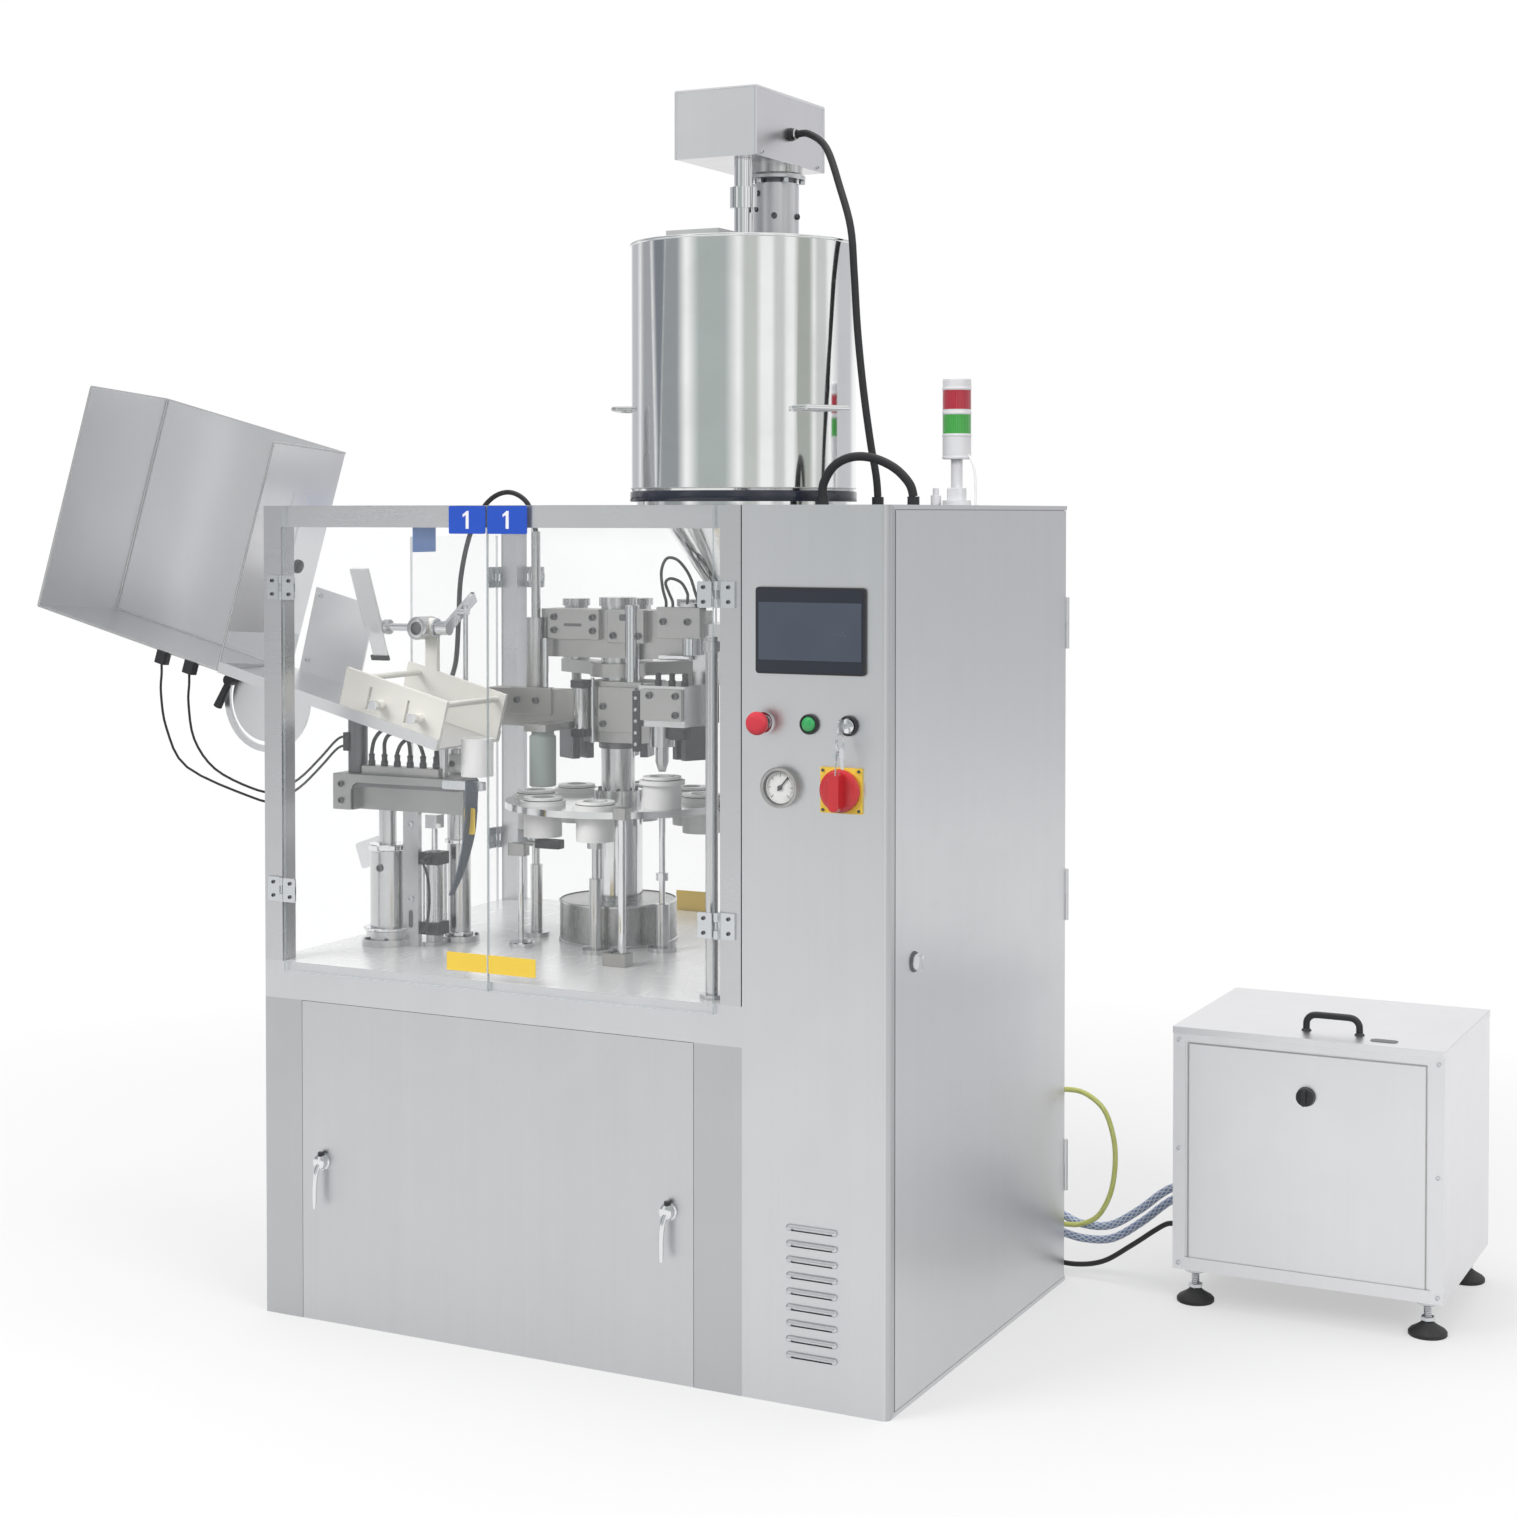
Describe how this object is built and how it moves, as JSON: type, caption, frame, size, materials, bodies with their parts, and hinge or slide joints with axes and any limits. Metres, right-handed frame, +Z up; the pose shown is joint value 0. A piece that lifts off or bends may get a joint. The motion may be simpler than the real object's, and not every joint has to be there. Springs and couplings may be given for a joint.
{
  "type": "tube filling machine",
  "caption": "Guarded rotary machine that fills and seals tubes: steel cabinet, electrical tower, clear doors, tube magazine and chute, stirred hopper, signal lamp and hose-fed cooling unit.",
  "frame": {"origin": "middle of the cabinet's footprint on the floor", "axes": "+X right along the front, +Y from the front to the back, +Z up"},
  "size_m": [2.7201, 1.301, 2.314],
  "materials": {
    "stainless": "fine brushed stainless sheet",
    "mirror_steel": "mirror polished stainless",
    "machined": "machined and satin",
    "clear_plastic": "clear acrylic",
    "white_plastic": "turned white plastic",
    "cream_paint": "pale satin",
    "black_plastic": "black moulded",
    "red_plastic": "glossy",
    "green_plastic": "glossy",
    "lamp_plastic": "tinted lens",
    "yellow_plastic": "glossy",
    "grey_paint": "satin",
    "black_rubber": "matt",
    "air_hose": "satin yellow green",
    "water_hose": "clear blue"
  },
  "bodies": {
    "machine": {"base_shell": "stainless", "deck": "mirror_steel", "guard_frame": "stainless", "tower_shell": "stainless", "control_plate": "white_plastic", "door_hinges": "mirror_steel", "hmi_panel": "black_plastic", "panel_bezels": "mirror_steel", "switch_plate": "yellow_plastic", "index_drive": "grey_paint", "main_column": "mirror_steel", "head_beam": "machined", "station_heads": "mirror_steel", "fill_valve": "mirror_steel", "lift_guides": "mirror_steel", "hopper": "mirror_steel", "stirrer_drive": "stainless", "magazine": "stainless", "chute": "stainless", "guide_plates": "cream_paint", "feed_stand": "machined", "lamp_stem": "grey_paint", "lamp_lenses": "lamp_plastic", "chiller_shell": "stainless", "chiller_fittings": "black_plastic", "stirrer_cable": "black_rubber", "hopper_hose": "black_rubber", "feed_hose": "black_rubber", "air_hose": "air_hose", "water_hose_a": "water_hose", "water_hose_b": "water_hose", "chiller_cable": "black_rubber"},
    "left_door": {"guard_door_left": "clear_plastic"},
    "right_door": {"guard_door_right": "clear_plastic"},
    "side_door": {"guard_door_side": "clear_plastic"},
    "rear_left_door": {"guard_door_rear_left": "clear_plastic"},
    "rear_right_door": {"guard_door_rear_right": "clear_plastic"},
    "cover": {"front_cover": "stainless"},
    "left_handle": {"cover_handle_left": "mirror_steel"},
    "right_handle": {"cover_handle_right": "mirror_steel"},
    "tower_side_door": {"tower_door": "stainless"},
    "lock": {"tower_lock": "mirror_steel"},
    "stop_head": {"estop_head": "red_plastic"},
    "start": {"start_button": "green_plastic"},
    "key": {"key_switch": "mirror_steel"},
    "needle": {"gauge_needle": "black_plastic"},
    "main_switch": {"switch_knob": "red_plastic"},
    "table": {"turntable": "mirror_steel", "tube_holders": "white_plastic", "rear_holders": "white_plastic"},
    "raised_holder": {"lifted_holder": "white_plastic"},
    "lift": {"lift_rod": "mirror_steel"},
    "stirring": {"stirrer": "mirror_steel"},
    "press": {"press_ram": "mirror_steel"},
    "rocking": {"rocker": "mirror_steel", "feed_flap": "clear_plastic"},
    "loader": {"loader_cup": "white_plastic"},
    "air_rod": {"cylinder_rod": "mirror_steel"},
    "clamp": {"clamp_lever": "black_plastic"},
    "cooler_knob": {"chiller_knob": "black_plastic"}
  },
  "joints": [
    {"name": "left_door_swing", "type": "hinge", "parent": "machine", "child": "left_door", "pos_m": [-0.596, -0.437, 1], "axis": [0, 0, -1], "range_deg": [0, 105]},
    {"name": "right_door_swing", "type": "hinge", "parent": "machine", "child": "right_door", "pos_m": [0.322, -0.437, 1], "axis": [0, 0, 1], "range_deg": [0, 105]},
    {"name": "side_door_swing", "type": "hinge", "parent": "machine", "child": "side_door", "pos_m": [-0.647, 0.386, 1], "axis": [0, 0, -1], "range_deg": [0, 105]},
    {"name": "rear_left_swing", "type": "hinge", "parent": "machine", "child": "rear_left_door", "pos_m": [-0.596, 0.437, 1], "axis": [0, 0, 1], "range_deg": [0, 105]},
    {"name": "rear_right_swing", "type": "hinge", "parent": "machine", "child": "rear_right_door", "pos_m": [0.322, 0.437, 1], "axis": [0, 0, -1], "range_deg": [0, 105]},
    {"name": "cover_pull", "type": "slide", "parent": "machine", "child": "cover", "axis": [0, -1, 0], "range_m": [0, 0.25]},
    {"name": "left_handle_turn", "type": "hinge", "parent": "cover", "child": "left_handle", "pos_m": [-0.508, -0.43, 0.3], "axis": [0, 1, 0], "range_deg": [0, 90]},
    {"name": "right_handle_turn", "type": "hinge", "parent": "cover", "child": "right_handle", "pos_m": [0.227, -0.43, 0.3], "axis": [0, -1, 0], "range_deg": [0, 90]},
    {"name": "tower_door_swing", "type": "hinge", "parent": "machine", "child": "tower_side_door", "pos_m": [0.64, 0.43, 0.76], "axis": [0, 0, 1], "range_deg": [0, 75]},
    {"name": "lock_turn", "type": "hinge", "parent": "tower_side_door", "child": "lock", "pos_m": [0.64, -0.323, 0.749], "axis": [1, 0, 0], "range_deg": [0, 90]},
    {"name": "stop_press", "type": "slide", "parent": "machine", "child": "stop_head", "axis": [0, 1, 0], "range_m": [0, 0.004], "stiffness_N_per_m": 600},
    {"name": "start_press", "type": "slide", "parent": "machine", "child": "start", "axis": [0, 1, 0], "range_m": [0, 0.002], "stiffness_N_per_m": 500},
    {"name": "key_turn", "type": "hinge", "parent": "machine", "child": "key", "pos_m": [0.568, -0.43, 1.153], "axis": [0, -1, 0], "range_deg": [0, 60]},
    {"name": "needle_turn", "type": "hinge", "parent": "machine", "child": "needle", "pos_m": [0.444, -0.43, 1.045], "axis": [0, 1, 0], "range_deg": [-175, 95]},
    {"name": "main_switch_turn", "type": "hinge", "parent": "machine", "child": "main_switch", "pos_m": [0.555, -0.43, 1.045], "axis": [0, 1, 0], "range_deg": [0, 90]},
    {"name": "table_turn", "type": "hinge", "parent": "machine", "child": "table", "pos_m": [-0.16, 0.065, 0.94], "axis": [0, 0, 1], "continuous": true},
    {"name": "holder_lift", "type": "slide", "parent": "table", "child": "raised_holder", "axis": [0, 0, 1], "range_m": [-0.045, 0]},
    {"name": "lift_stroke", "type": "slide", "parent": "machine", "child": "lift", "axis": [0, 0, 1], "range_m": [-0.045, 0]},
    {"name": "stirrer_turn", "type": "hinge", "parent": "machine", "child": "stirring", "pos_m": [0.115, 0.07, 1.8], "axis": [0, 0, 1], "continuous": true},
    {"name": "press_stroke", "type": "slide", "parent": "machine", "child": "press", "axis": [0, 0, 1], "range_m": [-0.1, 0]},
    {"name": "rocker_swing", "type": "hinge", "parent": "machine", "child": "rocking", "pos_m": [-0.508, -0.075, 1.279], "axis": [1, 0, 0], "range_deg": [-12, 12]},
    {"name": "loader_swing", "type": "hinge", "parent": "machine", "child": "loader", "pos_m": [-0.43, -0.092, 1.015], "axis": [0, 0, 1], "range_deg": [0, 90]},
    {"name": "air_rod_stroke", "type": "slide", "parent": "machine", "child": "air_rod", "axis": [0, 0, 1], "range_m": [-0.04, 0]},
    {"name": "clamp_turn", "type": "hinge", "parent": "machine", "child": "clamp", "pos_m": [-0.89476, -0.2, 1.17219], "axis": [0, 1, 0], "range_deg": [-35, 35]},
    {"name": "cooler_knob_turn", "type": "hinge", "parent": "machine", "child": "cooler_knob", "pos_m": [1.126, 0.385, 0.422], "axis": [0, 1, 0], "range_deg": [0, 90]}
  ],
  "couplings": [
    {"joint": "holder_lift", "follows": "lift_stroke", "ratio": 1}
  ]
}
